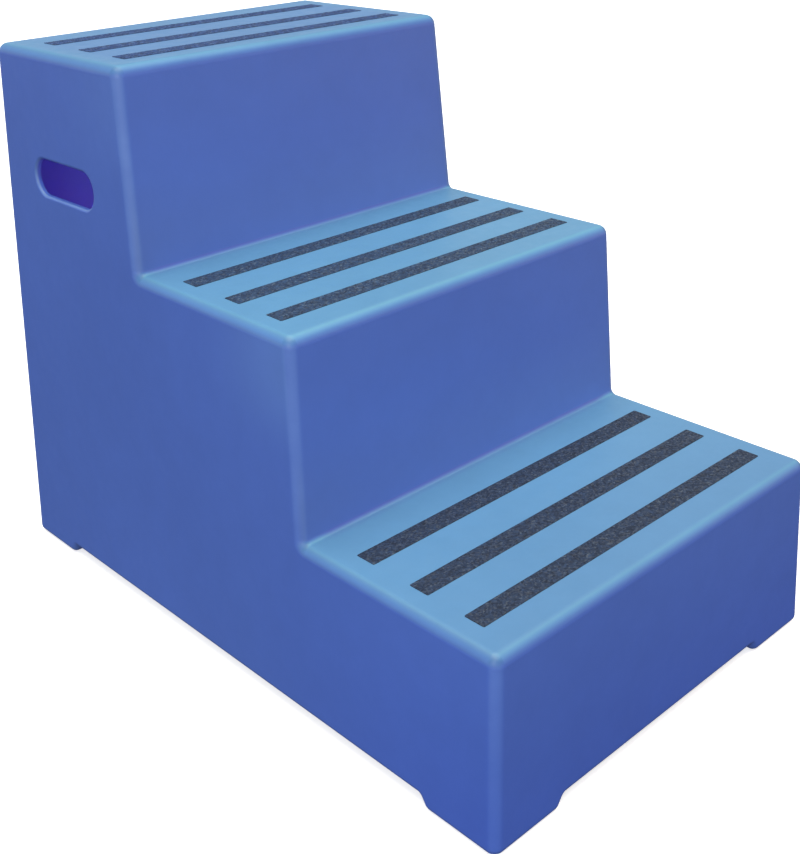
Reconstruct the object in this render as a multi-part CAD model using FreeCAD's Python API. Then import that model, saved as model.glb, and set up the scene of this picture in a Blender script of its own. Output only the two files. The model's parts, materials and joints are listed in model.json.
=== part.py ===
# Free-standing three-tread moulded step for the side of a pool.
# One hollow polyethylene body with a hand hole in each side, three grit strips on each tread,
# and a push-fit rubber pad in the sole of each foot.
# X runs across the width, the lowest step faces -Y, and Z is up.  The origin is on the floor,
# under the middle of the body.  Lengths are in millimetres and angles in degrees.
import FreeCAD, Part
import math
import os

Vector = FreeCAD.Vector
ACROSS = Vector(1, 0, 0)
DEEP = Vector(0, 1, 0)
UP = Vector(0, 0, 1)

# ---- driving dimensions ----
TREADS = ("lower", "middle", "top")
TREAD_HEIGHTS = (200.0, 400.0, 600.0)   # floor to each tread
RISER_PLACES = (0.0, 244.0, 483.0)      # front of the base to each riser, at floor level
BASE_WIDTH = 495.0                      # at floor level
BASE_DEPTH = 788.0                      # at floor level
DRAFT = 3.25                            # lean of every upright wall
WALL = 6.0

NOSE_RADIUS = 11.0                      # front edge of each tread, and the top's rear edge
SIDE_RADIUS = 10.5                      # side edges of treads, risers and back
RISER_FOOT_RADIUS = 5.0                 # hollow where a tread meets the riser behind it
BOTTOM_RADIUS = 7.0                     # all round the underside

FOOT_LENGTH = 90.0                      # each corner foot, across and deep
FOOT_DROP = 12.0                        # sole of a foot below the base panel
FOOT_SLOPE = 55.0                       # inner faces of a foot, above level
FOOT_EDGE_RADIUS = 9.0
FOOT_ROOT_RADIUS = 5.0

HAND_HOLE_LENGTH = 116.0
HAND_HOLE_HEIGHT = 39.0
HAND_HOLE_BELOW_TOP = 130.0
HAND_HOLE_LIP = 3.0                     # rounding of its outer edge

STRIP_PLACES = ("front", "middle", "rear")
STRIP_WIDTH = 23.0
STRIP_THICKNESS = 0.8
STRIP_CORNER = 1.5
STRIP_LENGTHS = (418.0, 401.0, 365.0)   # lower, middle and top tread
STRIP_SETBACKS = (                      # top of the riser to each strip's centre line
    (50.0, 116.0, 185.0),               # lower tread: front, middle and rear strip
    (51.0, 114.5, 183.0),
    (43.0, 107.0, 177.0),
)

PAD_RADIUS = 20.0
PAD_PROUD = 1.0                         # rubber below the sole
PAD_RECESS = 2.2
PAD_GAP = 0.3                           # round the pad, in its recess
PAD_INSET = 44.0                        # pad centre from the outside of the base
PAD_EDGE = 0.8                          # rounding of the pad's lower edge
STEM_RADIUS = 4.3
STEM_GAP = 0.2
BARB_RADIUS = 6.5
BARB_TIP_RADIUS = 3.5
BARB_HEIGHT = 6.0

DRAIN_RADIUS = 6.0
DRAIN_INSET = 125.0                     # drain hole centre from the outside of the base

# ---- values worked out from them ----
SOLE = PAD_PROUD
BASE_PANEL = SOLE + FOOT_DROP
TOP = TREAD_HEIGHTS[-1]
LEAN = math.tan(math.radians(DRAFT))
Y_MIDDLE = BASE_DEPTH / 2.0
REACH = 1000.0                          # longer than the body in any direction
CORNERS = [(side, end) for side in (-1, 1) for end in (-1, 1)]
CORNER_NAMES = {(-1, -1): "front_left", (1, -1): "front_right", (-1, 1): "rear_left", (1, 1): "rear_right"}


def riser_y(step, height):
    """Place of a riser at a height, from the front of the base."""
    return RISER_PLACES[step] + LEAN * height


def back_y(height):
    return BASE_DEPTH - LEAN * height


def side_x(height):
    return BASE_WIDTH / 2.0 - LEAN * height


def corner_place(side, end, inset):
    """Point on the floor, the same distance in from both outsides of a corner of the base."""
    return Vector(side * (BASE_WIDTH / 2.0 - inset), Y_MIDDLE + end * (BASE_DEPTH / 2.0 - inset), 0)


def midpoint(edge):
    return edge.valueAt((edge.FirstParameter + edge.LastParameter) / 2.0)


def bar_of(corners, along, inset, length):
    """Bar with a polygon section, drawn in by inset all round and centred on the section's place."""
    section = Part.Face(Part.makePolygon(corners + corners[:1]))
    if inset:
        section = section.makeOffset2D(-inset, 2)
    section.translate(along * (-length / 2.0))
    return section.extrude(along * length)


def long_edges_near(bar, along, places, reach):
    """Edges that run along the bar and pass within reach of any of the places."""
    found = []
    for edge in bar.Edges:
        point = midpoint(edge)
        flat = point - along * point.dot(along)
        is_long = edge.Length > REACH / 2.0
        if is_long and any((flat - place).Length < reach for place in places):
            found.append(edge)
    return found


def stair_bar(inset):
    """Side outline of the risers, treads and back, drawn across the width."""
    noses = [Vector(0, riser_y(step, height), height) for step, height in enumerate(TREAD_HEIGHTS)]
    hollows = [Vector(0, riser_y(step + 1, height), height) for step, height in enumerate(TREAD_HEIGHTS[:-1])]
    rear_nose = Vector(0, back_y(TOP), TOP)
    corners = [Vector(0, riser_y(0, SOLE), SOLE)]
    for nose, hollow in zip(noses, hollows):
        corners += [nose, hollow]
    corners += [noses[-1], rear_nose, Vector(0, back_y(SOLE), SOLE)]
    bar = bar_of(corners, ACROSS, inset, REACH)
    near = 2.0 * inset + 1.0
    bar = bar.makeFillet(NOSE_RADIUS - inset, long_edges_near(bar, ACROSS, noses + [rear_nose], near))
    return bar.makeFillet(RISER_FOOT_RADIUS + inset, long_edges_near(bar, ACROSS, hollows, near))


def front_bar(inset):
    """Front outline, which narrows upward, drawn along the depth."""
    low = side_x(SOLE)
    high = side_x(TOP)
    corners = [Vector(-low, 0, SOLE), Vector(low, 0, SOLE), Vector(high, 0, TOP), Vector(-high, 0, TOP)]
    return bar_of(corners, DEEP, inset, 2.0 * REACH)


def arch_bar(along, middle, size, inset):
    """Space between two feet, and everything below the soles, drawn along the other two sides."""
    across = along.cross(UP)
    centre = across * middle.dot(across)
    half_run = FOOT_DROP / math.tan(math.radians(FOOT_SLOPE)) / 2.0
    half_span = size / 2.0 - FOOT_LENGTH
    outline = [(REACH, SOLE - REACH), (REACH, SOLE), (half_span + half_run, SOLE),
               (half_span - half_run, BASE_PANEL)]
    outline += [(-place, height) for place, height in reversed(outline)]
    corners = [centre + across * place + UP * height for place, height in outline]
    bar = bar_of(corners, along, -inset, 3.0 * REACH)
    near = 2.0 * inset + 1.0
    roots = long_edges_near(bar, along, [corners[3], corners[4]], near)
    roots = [edge for edge in roots if midpoint(edge).z > BASE_PANEL + inset - 0.1]
    bar = bar.makeFillet(FOOT_ROOT_RADIUS + inset, roots)
    mouths = long_edges_near(bar, along, [corners[2], corners[5]], near)
    mouths = [edge for edge in mouths if midpoint(edge).z < SOLE + inset + 0.1]
    return bar.makeFillet(FOOT_EDGE_RADIUS - inset, mouths)


def moulded_form(inset):
    """Rounded outside of the body, or the space inside it when inset is the wall."""
    form = stair_bar(inset).common(front_bar(inset)).removeSplitter()

    def beside(edge):
        point = midpoint(edge)
        return abs(abs(point.x) - side_x(point.z) + inset) < 0.5 and point.z > SOLE + inset + 1.0

    form = form.makeFillet(SIDE_RADIUS - inset, [edge for edge in form.Edges if beside(edge)])
    middle = Vector(0, Y_MIDDLE, 0)
    arches = arch_bar(DEEP, middle, BASE_WIDTH, inset).fuse(arch_bar(ACROSS, middle, BASE_DEPTH, inset))
    return form.cut(arches.removeSplitter())


def round_underside(form):
    """Rounds the rim where the walls turn under, up and down over the feet."""
    def on_rim(edge):
        point = midpoint(edge)
        beyond = max(abs(point.x) - BASE_WIDTH / 2.0, abs(point.y - Y_MIDDLE) - BASE_DEPTH / 2.0)
        return point.z < BASE_PANEL + 0.5 and beyond > -0.4 * SIDE_RADIUS

    return form.makeFillet(BOTTOM_RADIUS, [edge for edge in form.Edges if on_rim(edge)])


def hand_hole_centre():
    height = TOP - HAND_HOLE_BELOW_TOP
    return Vector(0, (riser_y(2, height) + back_y(height)) / 2.0, height)


def cut_hand_holes(shell):
    """One slot with round ends through each side of the top block, its outer edge rounded over."""
    centre = hand_hole_centre()
    radius = HAND_HOLE_HEIGHT / 2.0
    half_straight = HAND_HOLE_LENGTH / 2.0 - radius
    slot = Part.makeBox(REACH, 2.0 * half_straight, HAND_HOLE_HEIGHT,
                        centre - Vector(REACH / 2.0, half_straight, radius))
    for end in (-1, 1):
        start = centre + Vector(-REACH / 2.0, end * half_straight, 0)
        slot = slot.fuse(Part.makeCylinder(radius, REACH, start, ACROSS))
    shell = shell.cut(slot.removeSplitter())

    def on_outer_lip(edge):
        point = midpoint(edge)
        near_hole = (Vector(0, point.y, point.z) - centre).Length < HAND_HOLE_LENGTH / 2.0 + 1.0
        return near_hole and abs(abs(point.x) - side_x(point.z)) < 0.5

    return shell.makeFillet(HAND_HOLE_LIP, [edge for edge in shell.Edges if on_outer_lip(edge)])


def body_shell():
    shell = round_underside(moulded_form(0.0)).cut(moulded_form(WALL))
    shell = cut_hand_holes(shell)
    for side, end in CORNERS:
        foot = corner_place(side, end, PAD_INSET)
        drain = corner_place(side, end, DRAIN_INSET)
        shell = shell.cut(Part.makeCylinder(PAD_RADIUS + PAD_GAP, PAD_RECESS, foot + UP * SOLE))
        shell = shell.cut(Part.makeCylinder(STEM_RADIUS + STEM_GAP, 2.0 * WALL, foot + UP * SOLE))
        shell = shell.cut(Part.makeCylinder(DRAIN_RADIUS, 2.0 * WALL, drain + UP * (BASE_PANEL - 1.0)))
    return shell.Solids[0]


def grit_strip(tread, place):
    """Tape with rounded corners, stuck on a tread; place counts back from the front strip."""
    length = STRIP_LENGTHS[tread]
    height = TREAD_HEIGHTS[tread]
    centre_y = riser_y(tread, height) + STRIP_SETBACKS[tread][place]
    strip = Part.makeBox(length, STRIP_WIDTH, STRIP_THICKNESS,
                         Vector(-length / 2.0, centre_y - STRIP_WIDTH / 2.0, height))
    upright = [edge for edge in strip.Edges if abs(edge.Length - STRIP_THICKNESS) < 0.01]
    return strip.makeFillet(STRIP_CORNER, upright)


def foot_pad():
    """Rubber disc with a barbed stem that snaps through the foot, on the Z axis."""
    seat = SOLE + PAD_RECESS
    shoulder = SOLE + WALL
    outline = [(0, 0), (PAD_RADIUS, 0), (PAD_RADIUS, seat), (STEM_RADIUS, seat), (STEM_RADIUS, shoulder),
               (BARB_RADIUS, shoulder), (BARB_TIP_RADIUS, shoulder + BARB_HEIGHT), (0, shoulder + BARB_HEIGHT)]
    corners = [Vector(radius, 0, height) for radius, height in outline]
    pad = Part.Face(Part.makePolygon(corners + corners[:1])).revolve(Vector(0, 0, 0), UP, 360)
    lower_edge = [edge for edge in pad.Edges if edge.BoundBox.ZMax < 0.1 and edge.BoundBox.XMax > PAD_RADIUS - 1.0]
    return pad.makeFillet(PAD_EDGE, lower_edge)


def save(shape, node):
    """Writes one piece, moved so that the origin is under the middle of the body."""
    placed = shape.translated(Vector(0, -Y_MIDDLE, 0))
    placed.exportStep("parts/" + node + ".step")


def main():
    os.makedirs("parts", exist_ok=True)
    save(body_shell(), "body_shell")
    for tread, tread_name in enumerate(TREADS):
        for place, place_name in enumerate(STRIP_PLACES):
            save(grit_strip(tread, place), tread_name + "_tread_" + place_name + "_strip")
    for side, end in CORNERS:
        pad = foot_pad().translated(corner_place(side, end, PAD_INSET))
        save(pad, CORNER_NAMES[(side, end)] + "_foot_pad")


if __name__ == "__main__":
    main()
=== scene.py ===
"""Looks for the three-tread pool step: polyethylene body, grit tape on the treads and rubber feet."""

import json
import math
import random
from types import SimpleNamespace

import bmesh
import bpy
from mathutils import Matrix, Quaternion, Vector

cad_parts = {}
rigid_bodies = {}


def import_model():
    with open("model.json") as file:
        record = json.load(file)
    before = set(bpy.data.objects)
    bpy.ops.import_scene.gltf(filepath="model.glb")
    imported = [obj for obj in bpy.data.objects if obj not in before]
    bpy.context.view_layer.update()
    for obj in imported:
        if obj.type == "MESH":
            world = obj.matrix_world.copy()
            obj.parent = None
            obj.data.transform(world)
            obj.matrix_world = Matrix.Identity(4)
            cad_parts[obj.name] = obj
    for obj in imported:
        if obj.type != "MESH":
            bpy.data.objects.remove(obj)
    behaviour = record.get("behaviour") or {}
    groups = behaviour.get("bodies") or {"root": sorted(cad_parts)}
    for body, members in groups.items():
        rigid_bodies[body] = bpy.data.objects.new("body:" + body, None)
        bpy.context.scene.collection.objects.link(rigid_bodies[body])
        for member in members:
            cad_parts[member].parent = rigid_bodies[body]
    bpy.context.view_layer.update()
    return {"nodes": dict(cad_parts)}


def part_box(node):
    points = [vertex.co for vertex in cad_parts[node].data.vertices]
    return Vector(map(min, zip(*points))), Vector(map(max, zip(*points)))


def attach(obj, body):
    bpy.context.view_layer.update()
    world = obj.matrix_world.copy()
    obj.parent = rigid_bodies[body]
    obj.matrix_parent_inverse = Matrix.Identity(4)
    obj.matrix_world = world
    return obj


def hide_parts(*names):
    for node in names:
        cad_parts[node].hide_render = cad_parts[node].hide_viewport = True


for leftover in list(bpy.data.objects):
    bpy.data.objects.remove(leftover)

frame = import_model()

# ---------------------------------------------------------------- driving values
TREADS = ("lower", "middle", "top")
STRIP_PLACES = ("front", "middle", "rear")
FEET = ("front_left", "front_right", "rear_left", "rear_right")

GRAIN_PITCH = 0.0008          # spacing of the grit's grains
GRAIN_JITTER = 0.30           # how far a grain strays, as a share of the pitch
GRAIN_LOW, GRAIN_HIGH = 0.00004, 0.00040
GRAIN_RARITY = 1.5            # above 1, tall grains are rarer than low ones
TAPE_CORNER = 0.0015          # radius of the die-cut corners
FILM_HEIGHT = 0.00032         # backing film and glue under the grit
FIRST_SEED = 11               # each strip's grains have a seed of their own, counted from this one

RISE = 0.200                  # floor to tread and tread to tread
BASE_FRONT = -0.39            # front of the step at floor level
RISER_FEET = (                # depth and height where a tread meets the riser behind it
    (-0.1386, 0.200),
    (0.1117, 0.400),
)
HAND_HOLE = (0.2415, 0.470)   # depth and height of the middle of the hole in each side
PALE_FLANKS = (               # front and top of a block whose sides get a painted highlight, and how much
    (-0.150, 0.400, 1.00),
    (0.089, 0.600, 0.45),
)

FACE_STOPS = [                # polyethylene's colour, from upright faces to level ones: painted light, paler and cyan on level faces
    (0.12, (0.086, 0.179, 0.640)),
    (0.28, (0.081, 0.168, 0.560)),
    (0.54, (0.084, 0.205, 0.515)),
    (0.80, (0.104, 0.284, 0.500)),
    (0.93, (0.116, 0.322, 0.475)),
    (1.00, (0.106, 0.278, 0.455)),
]
TINTS = {                     # what that colour is multiplied by in each zone; every zone is painted light or shade
    "crest": (0.85, 0.81, 0.88),
    "skirt": (1.08, 1.12, 0.96),
    "top tread": (0.90, 0.93, 1.00),
    "inside rim": (0.93, 0.86, 0.98),
    "shaded_low_walls": (0.76, 0.81, 1.01),
    "shaded_low_tread": (0.84, 0.80, 0.88),
    "pale flank": (1.35, 1.32, 1.05),
    "tip": (0.78, 0.86, 0.84),
    "riser's left": (1.06, 0.98, 0.86),
    "riser's right": (1.12, 1.10, 0.95),
    "riser_foot_shade": (0.98, 0.88, 0.97),
    "fillet_shade": (0.97, 0.84, 0.98),
}
# colour of the painted highlight on the upright corners
CORNER_HIGHLIGHT = (0.22, 0.38, 0.72, 1)
# colour of the painted highlight on the hand holes' lips
LIP_HIGHLIGHT = (0.24, 0.40, 0.62, 1)

GRIT_STOPS = [                # slate grains, then brown and pale ones
    (0.00, (0.005, 0.013, 0.032)),
    (0.35, (0.009, 0.024, 0.056)),
    (0.70, (0.015, 0.036, 0.075)),
    (0.90, (0.034, 0.042, 0.062)),
    (1.00, (0.068, 0.083, 0.105)),
]
TAPE_LIGHT_BY_HEIGHT = [                 # by height: painted shade on the lowest tread's tape, and a painted bluer, paler sheen on the higher treads
    (0.25, (0.68, 0.80, 0.89)),
    (0.40, (1.04, 1.34, 1.43)),
    (0.55, (0.80, 1.55, 2.55)),
]
CLEAN_RUBBER = (0.018, 0.019, 0.022, 1)
DUSTY_RUBBER = (0.060, 0.060, 0.062, 1)

SKY_STOPS = [                 # studio light by height: below the floor, the horizon and overhead
    (0.478, (0.12, 0.12, 0.12)),
    (0.488, (0.85, 0.85, 0.85)),
    (0.540, (0.75, 0.75, 0.75)),
    (0.680, (0.38, 0.38, 0.38)),
    (1.000, (0.34, 0.34, 0.34)),
]
WHITE_LIGHT = (1.0, 1.0, 1.0)
WARM_LIGHT = (1.0, 0.50, 0.05)
VIOLET_LIGHT = (1.0, 0.29, 0.54)
FLOOR_RADIUS = 45.0
FLOOR_GLOW = 0.64             # keeps the floor pale beyond the lamps' reach

CAMERA_PLACE = Vector((-0.8117, -0.8984, 0.7947))
CAMERA_AIM = Vector((-0.1099, -0.1423, 0.2800))
CAMERA_ROLL = math.radians(-1.63)
CAMERA_LENS = 50.81
SENSOR_WIDTH = 36.0


# ---------------------------------------------------------------- camera, light and floor
def add_camera():
    data = bpy.data.cameras.new("camera")
    data.lens = CAMERA_LENS
    data.sensor_width = SENSOR_WIDTH
    data.clip_start = 0.01
    data.clip_end = 200.0
    camera = bpy.data.objects.new("camera", data)
    bpy.context.scene.collection.objects.link(camera)
    turn = (CAMERA_AIM - CAMERA_PLACE).to_track_quat("-Z", "Y")
    camera.rotation_mode = "QUATERNION"
    camera.rotation_quaternion = turn @ Quaternion((0, 0, 1), CAMERA_ROLL)
    camera.location = CAMERA_PLACE
    bpy.context.scene.camera = camera


def add_lamp(name, kind, place, aim, energy, colour, **settings):
    data = bpy.data.lights.new(name, kind)
    data.energy = energy
    data.color = colour
    for key, value in settings.items():
        setattr(data, key, value)
    lamp = bpy.data.objects.new(name, data)
    bpy.context.scene.collection.objects.link(lamp)
    lamp.location = place
    lamp.rotation_euler = (Vector(aim) - Vector(place)).to_track_quat("-Z", "Y").to_euler()
    lamp.visible_camera = False
    return lamp


def put(tree, kind, settings=None, inputs=None, out=0):
    """Adds a shader node; an input is a value or another node's output. Returns one output."""
    node = tree.nodes.new("ShaderNode" + kind)
    for key, value in (settings or {}).items():
        setattr(node, key, value)
    for key, value in (inputs or {}).items():
        if isinstance(value, bpy.types.NodeSocket):
            tree.links.new(value, node.inputs[key])
        else:
            node.inputs[key].default_value = value
    return node.outputs[out]


def math_of(tree, operation, *values, clamp=False):
    return put(tree, "Math", {"operation": operation, "use_clamp": clamp}, dict(enumerate(values)))


def size_of(tree, value):
    return math_of(tree, "ABSOLUTE", value)


def noise_of(tree, where, scale, detail=3.0, rough=0.55):
    return put(tree, "TexNoise", {"noise_dimensions": "3D"},
               {"Vector": where, "Scale": scale, "Detail": detail, "Roughness": rough})


def spread(tree, value, low, high, to_low=0.0, to_high=1.0, smooth=False):
    """Maps low..high to to_low..to_high and holds the ends."""
    return put(tree, "MapRange",
               {"clamp": True, "interpolation_type": "SMOOTHSTEP" if smooth else "LINEAR"},
               {"Value": value, "From Min": low, "From Max": high,
                "To Min": to_low, "To Max": to_high})


def blend_of(tree, factor, first, second, how="MIX"):
    return put(tree, "Mix", {"data_type": "RGBA", "blend_type": how, "clamp_factor": True},
               {0: factor, 6: first, 7: second}, out=2)


def product(tree, first, *others):
    for other in others:
        first = math_of(tree, "MULTIPLY", first, other)
    return first


def tint(tree, colour, zone, mask):
    return blend_of(tree, mask, colour, (*TINTS[zone], 1), "MULTIPLY")


def grey_of(tree, value):
    return put(tree, "CombineColor", None, {"Red": value, "Green": value, "Blue": value})


def ramp_of(tree, value, stops):
    node = tree.nodes.new("ShaderNodeValToRGB")
    node.color_ramp.interpolation = "LINEAR"
    while len(node.color_ramp.elements) < len(stops):
        node.color_ramp.elements.new(0.5)
    for element, (place, colour) in zip(node.color_ramp.elements, stops):
        element.position = place
        element.color = (*colour, 1.0)
    tree.links.new(value, node.inputs[0])
    return node.outputs[0]


def new_material(name):
    """An empty material with one Principled shader. Returns the material, its tree and the shader."""
    material = bpy.data.materials.new(name)
    material.use_nodes = True
    tree = material.node_tree
    shader = next(n for n in tree.nodes if n.type == "BSDF_PRINCIPLED")
    return material, tree, shader


def add_floor():
    mesh = bpy.data.meshes.new("studio_floor")
    grid = bmesh.new()
    bmesh.ops.create_circle(grid, cap_ends=True, cap_tris=False, segments=96, radius=FLOOR_RADIUS)
    grid.to_mesh(mesh)
    grid.free()
    floor = bpy.data.objects.new("studio_floor", mesh)
    bpy.context.scene.collection.objects.link(floor)
    material, tree, shader = new_material("studio_floor")
    where = put(tree, "TexCoord", out=3)
    tone = spread(tree, noise_of(tree, where, 6.0), 0.3, 0.7, 0.80, 0.82)
    tree.links.new(grey_of(tree, tone), shader.inputs["Base Color"])
    shader.inputs["Roughness"].default_value = 0.9
    shader.inputs["Specular IOR Level"].default_value = 0.1
    shader.inputs["Emission Color"].default_value = (1, 1, 1, 1)
    shader.inputs["Emission Strength"].default_value = FLOOR_GLOW
    mesh.materials.append(material)
    floor.visible_diffuse = False
    floor.visible_glossy = False


def add_studio():
    scene = bpy.context.scene
    scene.view_settings.view_transform = "Standard"
    world = bpy.data.worlds.new("studio")
    scene.world = world
    world.use_nodes = True
    tree = world.node_tree
    background = next(n for n in tree.nodes if n.type == "BACKGROUND")
    rise = put(tree, "SeparateXYZ", None, {0: put(tree, "TexCoord")}, out=2)
    tone = ramp_of(tree, spread(tree, rise, -1.0, 1.0), SKY_STOPS)
    tree.links.new(tone, background.inputs["Color"])
    add_lamp("overhead", "SUN", place=(0, 0, 3), aim=(0.05, 0.10, 0),
             energy=3.1, colour=WHITE_LIGHT, angle=math.radians(55))
    add_lamp("camera_side", "AREA", place=(-2.3, -1.5, 1.5), aim=(0, 0.05, 0.35),
             energy=24.0, colour=WHITE_LIGHT, shape="RECTANGLE", size=1.0, size_y=1.4)
    bounce = add_lamp("warm_bounce", "AREA", place=(1.1, -0.9, 0.70), aim=(0, 0.05, 0.45),
                      energy=3.6, colour=WARM_LIGHT, shape="SQUARE", size=0.8)
    bounce.visible_glossy = False
    glow = add_lamp("through_the_wall", "POINT", place=(0.10, 0.02, 0.20), aim=(0, 0, 0),
                    energy=2.8, colour=VIOLET_LIGHT, shadow_soft_size=0.08)
    glow.visible_glossy = False


# ---------------------------------------------------------------- polyethylene
def surface_of(tree):
    """A point's place, the way its face looks and its mottle, for the polyethylene's zones."""
    at = SimpleNamespace()
    at.where = put(tree, "TexCoord", out=3)
    facing = tree.nodes.new("ShaderNodeSeparateXYZ")
    tree.links.new(put(tree, "TexCoord", out=1), facing.inputs[0])
    at.across, at.along, at.upward = facing.outputs
    at.sideways = size_of(tree, at.across)
    place = tree.nodes.new("ShaderNodeSeparateXYZ")
    tree.links.new(at.where, place.inputs[0])
    at.side, at.depth, at.height = place.outputs
    at.off_middle = size_of(tree, at.side)
    at.mottle = noise_of(tree, at.where, 26.0, 4.0, 0.6)

    # how level the face is, counted in full only near the treads
    off_tread = math_of(tree, "PINGPONG", at.height, RISE / 2)
    at.upness = product(tree, at.upward, spread(tree, off_tread, 0.020, 0.040, 1.0, 0.25))
    at.level = spread(tree, at.upness, 0.10, 0.60, smooth=True)
    at.wall = math_of(tree, "SUBTRACT", 1.0, at.level)
    at.corner = size_of(tree, product(tree, at.across, at.along))
    return at


def side_edges(tree, at, colour):
    """Painted shading on the edges along the sides: they turn from pale to deep blue more gently than
    the noses.
    """
    beside = spread(tree, at.sideways, 0.15, 0.45)
    # painted shade on the upper part of each side edge, painted light on the skirt below it
    crest = product(tree, beside, spread(tree, at.upness, 0.55, 0.80))
    colour = tint(tree, colour, "crest", crest)
    skirt = product(tree, beside,
                    spread(tree, at.upness, 0.08, 0.30, smooth=True),
                    spread(tree, at.upness, 0.40, 0.65, 1.0, 0.0))
    return tint(tree, colour, "skirt", skirt)


def painted_shade_zones(tree, at, colour):
    """Painted shade: a duller top tread, most of all inside its rim, and a duller lowest tread and
    walls in front.
    """
    # painted shade on the top tread, strongest inside its rim
    highest = product(tree, spread(tree, at.upness, 0.60, 0.90), spread(tree, at.height, 0.56, 0.59))
    colour = tint(tree, colour, "top tread", highest)
    inside_rim = product(tree, highest,
                         spread(tree, at.depth, 0.135, 0.160),
                         spread(tree, at.depth, 0.285, 0.320, 1.0, 0.45),
                         spread(tree, at.off_middle, 0.180, 0.207, 1.0, 0.0))
    colour = tint(tree, colour, "inside rim", inside_rim)
    # painted shade low in front: on the lower walls and on the lowest tread
    near_front = spread(tree, at.depth, BASE_FRONT, -0.05, 1.0, 0.0)
    shaded_low_walls = product(tree, at.wall, near_front, spread(tree, at.height, 0.02, 0.24, 1.0, 0.0))
    colour = tint(tree, colour, "shaded_low_walls", shaded_low_walls)
    shaded_low_tread = product(tree, at.level, near_front, spread(tree, at.height, 0.20, 0.32, 1.0, 0.0))
    return tint(tree, colour, "shaded_low_tread", shaded_low_tread)


def pale_flanks(tree, at, colour):
    """Painted highlight: the sides are paler under the front of the two upper treads."""
    flank = spread(tree, at.sideways, 0.90, 0.99)
    for front_depth, top_height, strength in PALE_FLANKS:
        pale = product(tree, flank,
                       spread(tree, at.depth, front_depth, front_depth + 0.17, 1.0, 0.0, smooth=True),
                       spread(tree, at.height, top_height - 0.13, top_height - 0.03, smooth=True),
                       strength)
        colour = tint(tree, colour, "pale flank", pale)
    return colour


def upright_corners(tree, at, colour):
    """Painted highlight on the upright corners, with painted shade on the tips above them. Returns
    the colour and how strong the highlight is.
    """
    tip = product(tree, spread(tree, at.corner, 0.03, 0.15), spread(tree, at.upness, 0.30, 0.60))
    colour = tint(tree, colour, "tip", tip)
    # painted highlight along the upright corners
    corner_highlight = product(tree, at.wall,
                  spread(tree, at.corner, 0.02, 0.45, smooth=True),
                  spread(tree, at.upward, 0.06, 0.40, 1.0, 0.0),
                  spread(tree, at.mottle, 0.25, 0.75, 0.22, 0.40),
                  spread(tree, at.height, 0.05, 0.45, 0.35, 1.0))
    return blend_of(tree, corner_highlight, colour, CORNER_HIGHLIGHT), corner_highlight


def hole_lips(tree, at, colour):
    """Painted highlight on the rounded lips of the hand holes, weaker where they face down."""
    hole_depth, hole_height = HAND_HOLE
    along_hole = size_of(tree, math_of(tree, "SUBTRACT", at.depth, hole_depth))
    over_hole = size_of(tree, math_of(tree, "SUBTRACT", at.height, hole_height))
    lip = product(tree, spread(tree, along_hole, 0.062, 0.064, 1.0, 0.0),
                  spread(tree, over_hole, 0.023, 0.025, 1.0, 0.0),
                  spread(tree, at.sideways, 0.10, 0.40),
                  spread(tree, at.sideways, 0.70, 0.97, 1.0, 0.0),
                  spread(tree, at.off_middle, 0.210, 0.214),
                  spread(tree, at.upward, -0.30, 0.30, 0.10, 1.0),
                  spread(tree, at.mottle, 0.25, 0.75, 0.24, 0.55))
    return blend_of(tree, lip, colour, LIP_HIGHLIGHT)


def riser_feet(tree, at, colour):
    """Painted shade where a tread meets the riser behind it, and painted light fading up the riser
    above.
    """
    riser = product(tree, at.wall, spread(tree, size_of(tree, at.along), 0.50, 0.90))
    for foot_depth, foot_height in RISER_FEET:
        back = math_of(tree, "SUBTRACT", at.depth, foot_depth)
        over = math_of(tree, "SUBTRACT", at.height, foot_height)
        away = math_of(tree, "SQRT", math_of(tree, "ADD", product(tree, back, back),
                                             product(tree, over, over)))
        # painted light fading up each riser above its tread, warmer to the left and paler to the
        # right
        above = product(tree, riser, spread(tree, away, 0.005, 0.120, 1.0, 0.0, smooth=True))
        to_left = product(tree, above, spread(tree, at.side, -0.20, 0.20, 1.0, 0.0))
        colour = tint(tree, colour, "riser's left", to_left)
        to_right = product(tree, above, spread(tree, at.side, -0.15, 0.20))
        colour = tint(tree, colour, "riser's right", to_right)
        # painted shade in the corner where the tread meets the riser
        near = product(tree, spread(tree, at.upward, 0.10, 0.40),
                       spread(tree, away, 0.003, 0.012, 1.0, 0.0, smooth=True),
                       spread(tree, at.off_middle, 0.200, 0.215, 1.0, 0.0))
        colour = tint(tree, colour, "riser_foot_shade", near)
        curved = product(tree, near, spread(tree, at.upward, 0.85, 0.99, 1.0, 0.0))
        colour = tint(tree, colour, "fillet_shade", curved)
    return colour


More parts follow.
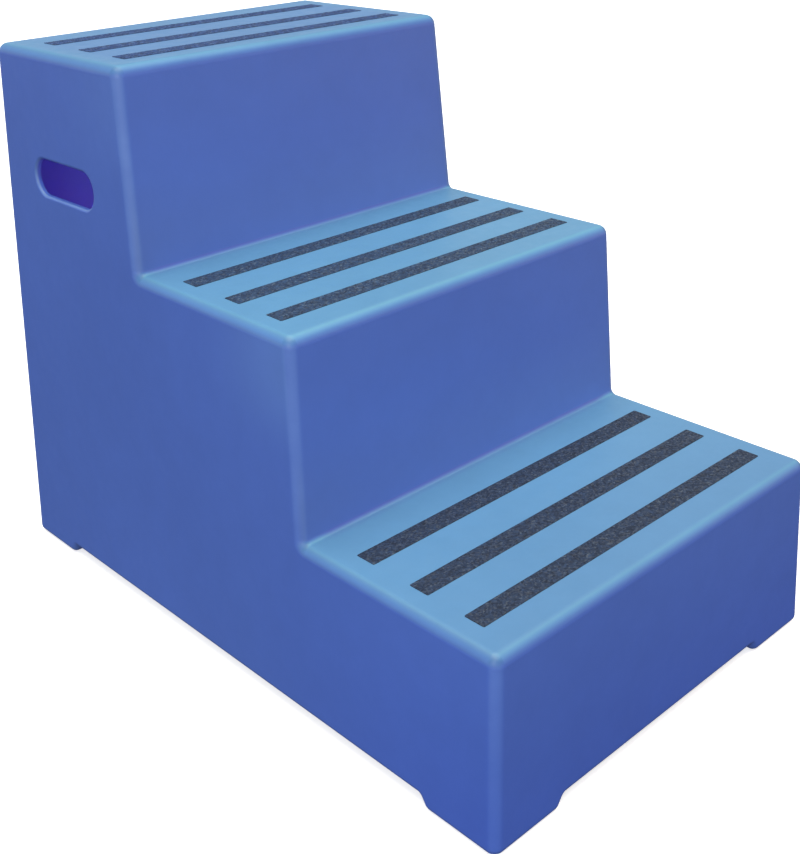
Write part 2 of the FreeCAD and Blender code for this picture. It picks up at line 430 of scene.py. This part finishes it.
def polyethylene():
    """Moulded blue polyethylene: deep blue walls, with painted light making the level faces paler and
    painted highlights on the rounded edges.
    """
    material, tree, shader = new_material("blue_polyethylene")
    at = surface_of(tree)
    # painted light: level faces paler and cyan, upright walls deep blue
    colour = ramp_of(tree, at.upness, FACE_STOPS)
    colour = side_edges(tree, at, colour)
    colour = painted_shade_zones(tree, at, colour)
    colour = pale_flanks(tree, at, colour)
    colour, corner_highlight = upright_corners(tree, at, colour)
    colour = hole_lips(tree, at, colour)
    colour = riser_feet(tree, at, colour)

    clouds = noise_of(tree, at.where, 3.2, 2.0)
    shade = product(tree, spread(tree, at.mottle, 0.3, 0.7, 0.975, 1.025),
                    spread(tree, clouds, 0.35, 0.65, 0.965, 1.025))
    colour = blend_of(tree, 1.0, colour, grey_of(tree, shade), "MULTIPLY")
    tree.links.new(colour, shader.inputs["Base Color"])

    dullness = spread(tree, noise_of(tree, at.where, 60.0, 3.0), 0.3, 0.7, 0.40, 0.52)
    # the painted corner highlight's mask also makes the corners a little rougher
    dullness = math_of(tree, "ADD", dullness, product(tree, corner_highlight, 0.10))
    tree.links.new(dullness, shader.inputs["Roughness"])
    shader.inputs["IOR"].default_value = 1.51

    # orange peel with a fine grain on it
    grain = noise_of(tree, at.where, 420.0, 2.0, 0.5)
    peel = math_of(tree, "ADD", noise_of(tree, at.where, 120.0, 2.0), product(tree, grain, 0.35))
    bump = put(tree, "Bump", None, {"Strength": 0.20, "Distance": 0.0005, "Height": peel})
    tree.links.new(bump, shader.inputs["Normal"])
    return material


# ---------------------------------------------------------------- tape and rubber
def grit_tape():
    """Mineral grit on black film: slate grains with brown and pale ones among them."""
    material, tree, shader = new_material("grit_tape")
    where = put(tree, "TexCoord", out=3)
    cells = tree.nodes.new("ShaderNodeTexVoronoi")
    cells.inputs["Scale"].default_value = 560.0
    tree.links.new(where, cells.inputs["Vector"])
    pick = put(tree, "SeparateColor", None, {0: cells.outputs["Color"]}, out=0)
    rim = put(tree, "Attribute", {"attribute_name": "rim"}, out=2)
    grain = ramp_of(tree, pick, GRIT_STOPS)
    patches = spread(tree, noise_of(tree, where, 170.0, 3.0, 0.60), 0.3, 0.7, 0.55, 1.45)
    patches = product(tree, patches, spread(tree, rim, 0.0, 1.0, 1.0, 0.55))
    colour = blend_of(tree, 1.0, grain, grey_of(tree, patches), "MULTIPLY")
    height = put(tree, "SeparateXYZ", None, {0: where}, out=2)
    # painted shade and sheen on the tape, by height
    colour = blend_of(tree, 1.0, colour, ramp_of(tree, height, TAPE_LIGHT_BY_HEIGHT), "MULTIPLY")
    tree.links.new(colour, shader.inputs["Base Color"])
    tree.links.new(spread(tree, pick, 0.0, 1.0, 0.85, 0.45), shader.inputs["Roughness"])
    bump = put(tree, "Bump", None,
               {"Strength": 0.4, "Distance": 0.0003, "Height": cells.outputs["Distance"]})
    tree.links.new(bump, shader.inputs["Normal"])
    return material


def sole_rubber():
    """Dull dark rubber with a worn, dusty face."""
    material, tree, shader = new_material("foot_rubber")
    where = put(tree, "TexCoord", out=3)
    dust = spread(tree, noise_of(tree, where, 90.0, 4.0, 0.65), 0.45, 0.75)
    colour = blend_of(tree, dust, CLEAN_RUBBER, DUSTY_RUBBER)
    tree.links.new(colour, shader.inputs["Base Color"])
    tree.links.new(spread(tree, dust, 0.0, 1.0, 0.62, 0.88), shader.inputs["Roughness"])
    bump = put(tree, "Bump", None,
               {"Strength": 0.4, "Distance": 0.0002, "Height": noise_of(tree, where, 800.0)})
    tree.links.new(bump, shader.inputs["Normal"])
    return material


# ---------------------------------------------------------------- strips of tape
def tape_outline(x, y, half_x, half_y):
    """Pulls a point in the tape's corner in to its rounded outline."""
    in_x = abs(x) - (half_x - TAPE_CORNER)
    in_y = abs(y) - (half_y - TAPE_CORNER)
    if in_x <= 0 or in_y <= 0:
        return x, y
    reach = math.hypot(in_x, in_y)
    if reach <= TAPE_CORNER:
        return x, y
    pull = TAPE_CORNER / reach
    return (math.copysign(half_x - TAPE_CORNER + in_x * pull, x),
            math.copysign(half_y - TAPE_CORNER + in_y * pull, y))


def grit_points(tape, edge, middle, half_x, half_y, base, dice):
    """Rows of points over a strip's top, each at the height of its own grain."""
    columns, rows = round(2 * half_x / GRAIN_PITCH), round(2 * half_y / GRAIN_PITCH)
    grid = []
    for i in range(columns + 1):
        line = []
        for j in range(rows + 1):
            x = -half_x + 2 * half_x * i / columns
            y = -half_y + 2 * half_y * j / rows
            rim = i in (0, columns) or j in (0, rows)
            jitter = 0.0 if rim else GRAIN_JITTER * GRAIN_PITCH
            x += dice.uniform(-jitter, jitter)
            y += dice.uniform(-jitter, jitter)
            grain = GRAIN_LOW + (GRAIN_HIGH - GRAIN_LOW) * dice.random() ** GRAIN_RARITY
            if rim:
                grain = GRAIN_LOW * dice.random()
            x, y = tape_outline(x, y, half_x, half_y)
            point = tape.verts.new((middle.x + x, middle.y + y, base + FILM_HEIGHT + grain))
            point[edge] = 1.0 if rim else 0.0
            line.append(point)
        grid.append(line)
    return grid


def grit_faces(tape, grid):
    """Two triangles between every four points, split one way and the other by turns."""
    for i in range(len(grid) - 1):
        for j in range(len(grid[0]) - 1):
            a, b, c, d = grid[i][j], grid[i + 1][j], grid[i + 1][j + 1], grid[i][j + 1]
            if (i + j) % 2:
                tape.faces.new((a, b, c))
                tape.faces.new((a, c, d))
            else:
                tape.faces.new((a, b, d))
                tape.faces.new((b, c, d))


def close_film(tape, edge, grid, base):
    """The strip's cut edges and its flat underside."""
    columns, rows = len(grid) - 1, len(grid[0]) - 1
    ring = [grid[i][0] for i in range(columns)]
    ring += [grid[columns][j] for j in range(rows)]
    ring += [grid[i][rows] for i in range(columns, 0, -1)]
    ring += [grid[0][j] for j in range(rows, 0, -1)]
    foot = [tape.verts.new((point.co.x, point.co.y, base)) for point in ring]
    for point in foot:
        point[edge] = 1.0
    for k in range(len(ring)):
        n = (k + 1) % len(ring)
        tape.faces.new((ring[n], ring[k], foot[k], foot[n]))
    tape.faces.new(foot[::-1])


def add_tape(tread, place, seed, material):
    """One strip of grit tape: a closed film with a grain at every point of its top."""
    node = f"{tread}_tread_{place}_strip"
    low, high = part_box(node)
    middle = (low + high) / 2
    half_x, half_y = (high.x - low.x) / 2, (high.y - low.y) / 2
    tape = bmesh.new()
    edge = tape.verts.layers.float.new("rim")
    grid = grit_points(tape, edge, middle, half_x, half_y, low.z, random.Random(seed))
    grit_faces(tape, grid)
    close_film(tape, edge, grid, low.z)
    mesh = bpy.data.meshes.new(node + "_grit")
    tape.to_mesh(mesh)
    tape.free()
    piece = bpy.data.objects.new(node + "_grit", mesh)
    bpy.context.scene.collection.objects.link(piece)
    mesh.materials.append(material)
    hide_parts(node)
    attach(piece, "root")


def dress(node, material):
    """Gives a CAD node its material."""
    piece = frame["nodes"][node]
    for material_slot in piece.material_slots:
        material_slot.material = material


# ---------------------------------------------------------------- scene
add_camera()
add_studio()
add_floor()

dress("body_shell", polyethylene())
rubber = sole_rubber()
for foot_name in FEET:
    dress(foot_name + "_foot_pad", rubber)
grit = grit_tape()
for row, tread_name in enumerate(TREADS):
    for column, strip_place in enumerate(STRIP_PLACES):
        add_tape(tread_name, strip_place, FIRST_SEED + len(STRIP_PLACES) * row + column, grit)
